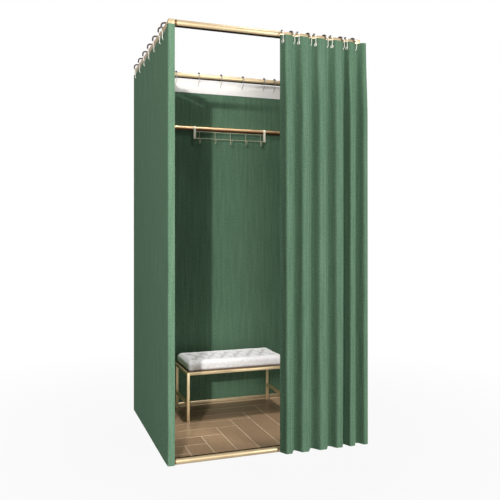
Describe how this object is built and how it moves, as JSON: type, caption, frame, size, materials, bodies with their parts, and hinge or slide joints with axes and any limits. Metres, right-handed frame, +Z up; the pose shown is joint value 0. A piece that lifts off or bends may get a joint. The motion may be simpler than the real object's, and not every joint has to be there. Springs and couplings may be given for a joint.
{
  "type": "portable fitting room",
  "caption": "Square tube-framed fitting room with hook-hung curtains, a gathered front curtain, a clothes rail with a hook rack, a floor panel and a low tufted bench.",
  "frame": {"origin": "on the floor, at the centre of the whole object's box", "axes": "+Z up, +X to the right as one faces the doorway, and the doorway faces -Y"},
  "size_m": [0.986, 1.0124, 2.0027],
  "materials": {
    "champagne_metal": "satin champagne gold",
    "floor_vinyl": "herringbone wood look, satin",
    "curtain_fabric": "heavy matte velvet-like weave, green",
    "tape_fabric": "white heading tape",
    "hook_metal": "dark bronze wire",
    "rack_metal": "warm white enamel",
    "board_wood": "plywood seat board",
    "cushion_fabric": "soft pale grey upholstery"
  },
  "bodies": {
    "frame": {"front_left_top_corner": "champagne_metal", "front_left_floor_corner": "champagne_metal", "front_left_post": "champagne_metal", "front_right_top_corner": "champagne_metal", "front_right_floor_corner": "champagne_metal", "front_right_post": "champagne_metal", "rear_left_top_corner": "champagne_metal", "rear_left_floor_corner": "champagne_metal", "rear_left_post": "champagne_metal", "rear_right_top_corner": "champagne_metal", "rear_right_floor_corner": "champagne_metal", "rear_right_post": "champagne_metal", "front_top_rail": "champagne_metal", "rear_top_rail": "champagne_metal", "left_top_rail": "champagne_metal", "right_top_rail": "champagne_metal", "front_floor_rail": "champagne_metal", "rear_floor_rail": "champagne_metal", "left_floor_rail": "champagne_metal", "right_floor_rail": "champagne_metal", "floor_panel": "floor_vinyl", "left_curtain": "curtain_fabric", "right_curtain": "curtain_fabric", "rear_curtain": "curtain_fabric", "front_curtain": "curtain_fabric", "left_heading_tape": "tape_fabric", "right_heading_tape": "tape_fabric", "rear_heading_tape": "tape_fabric", "front_hook_10": "hook_metal", "clothes_rail": "champagne_metal"},
    "curtain_lead": {"front_hook_1": "hook_metal"},
    "curtain_hook_2": {"front_hook_2": "hook_metal"},
    "curtain_hook_3": {"front_hook_3": "hook_metal"},
    "curtain_hook_4": {"front_hook_4": "hook_metal"},
    "curtain_hook_5": {"front_hook_5": "hook_metal"},
    "curtain_hook_6": {"front_hook_6": "hook_metal"},
    "curtain_hook_7": {"front_hook_7": "hook_metal"},
    "curtain_hook_8": {"front_hook_8": "hook_metal"},
    "curtain_hook_9": {"front_hook_9": "hook_metal"},
    "hook_rack": {"rack_left_strap": "rack_metal", "rack_right_strap": "rack_metal", "rack_upper_wire": "rack_metal", "rack_lower_wire": "rack_metal", "rack_hook_1": "rack_metal", "rack_hook_2": "rack_metal", "rack_hook_3": "rack_metal", "rack_hook_4": "rack_metal", "rack_hook_5": "rack_metal"},
    "bench": {"bench_front_left_leg": "champagne_metal", "bench_front_right_leg": "champagne_metal", "bench_rear_left_leg": "champagne_metal", "bench_rear_right_leg": "champagne_metal", "bench_front_rail": "champagne_metal", "bench_rear_rail": "champagne_metal", "bench_left_rail": "champagne_metal", "bench_right_rail": "champagne_metal", "bench_left_stretcher": "champagne_metal", "bench_right_stretcher": "champagne_metal", "bench_seat_board": "board_wood", "bench_cushion": "cushion_fabric"}
  },
  "joints": [
    {"name": "front_curtain_slide", "type": "slide", "parent": "frame", "child": "curtain_lead", "axis": [1, 0, 0], "range_m": [-0.49, 0.05], "deforming": ["front_curtain"]},
    {"name": "curtain_hook_2_slide", "type": "slide", "parent": "frame", "child": "curtain_hook_2", "axis": [1, 0, 0], "range_m": [-0.454, 0.047]},
    {"name": "curtain_hook_3_slide", "type": "slide", "parent": "frame", "child": "curtain_hook_3", "axis": [1, 0, 0], "range_m": [-0.431, 0.045]},
    {"name": "curtain_hook_4_slide", "type": "slide", "parent": "frame", "child": "curtain_hook_4", "axis": [1, 0, 0], "range_m": [-0.324, 0.034]},
    {"name": "curtain_hook_5_slide", "type": "slide", "parent": "frame", "child": "curtain_hook_5", "axis": [1, 0, 0], "range_m": [-0.288, 0.03]},
    {"name": "curtain_hook_6_slide", "type": "slide", "parent": "frame", "child": "curtain_hook_6", "axis": [1, 0, 0], "range_m": [-0.163, 0.017]},
    {"name": "curtain_hook_7_slide", "type": "slide", "parent": "frame", "child": "curtain_hook_7", "axis": [1, 0, 0], "range_m": [-0.127, 0.014]},
    {"name": "curtain_hook_8_slide", "type": "slide", "parent": "frame", "child": "curtain_hook_8", "axis": [1, 0, 0], "range_m": [-0.035, 0.004]},
    {"name": "curtain_hook_9_slide", "type": "slide", "parent": "frame", "child": "curtain_hook_9", "axis": [1, 0, 0], "range_m": [-0.023, 0.003]},
    {"name": "hook_rack_slide", "type": "slide", "parent": "frame", "child": "hook_rack", "axis": [1, 0, 0], "range_m": [-0.31, 0.115]},
    {"name": "bench_slide", "type": "slide", "parent": "frame", "child": "bench", "axis": [0, -1, 0], "range_m": [0, 0.5]}
  ],
  "couplings": [
    {"joint": "curtain_hook_2_slide", "follows": "front_curtain_slide", "ratio": 0.9255},
    {"joint": "curtain_hook_3_slide", "follows": "front_curtain_slide", "ratio": 0.8778},
    {"joint": "curtain_hook_4_slide", "follows": "front_curtain_slide", "ratio": 0.6598},
    {"joint": "curtain_hook_5_slide", "follows": "front_curtain_slide", "ratio": 0.585},
    {"joint": "curtain_hook_6_slide", "follows": "front_curtain_slide", "ratio": 0.33},
    {"joint": "curtain_hook_7_slide", "follows": "front_curtain_slide", "ratio": 0.258},
    {"joint": "curtain_hook_8_slide", "follows": "front_curtain_slide", "ratio": 0.0685},
    {"joint": "curtain_hook_9_slide", "follows": "front_curtain_slide", "ratio": 0.0441}
  ]
}
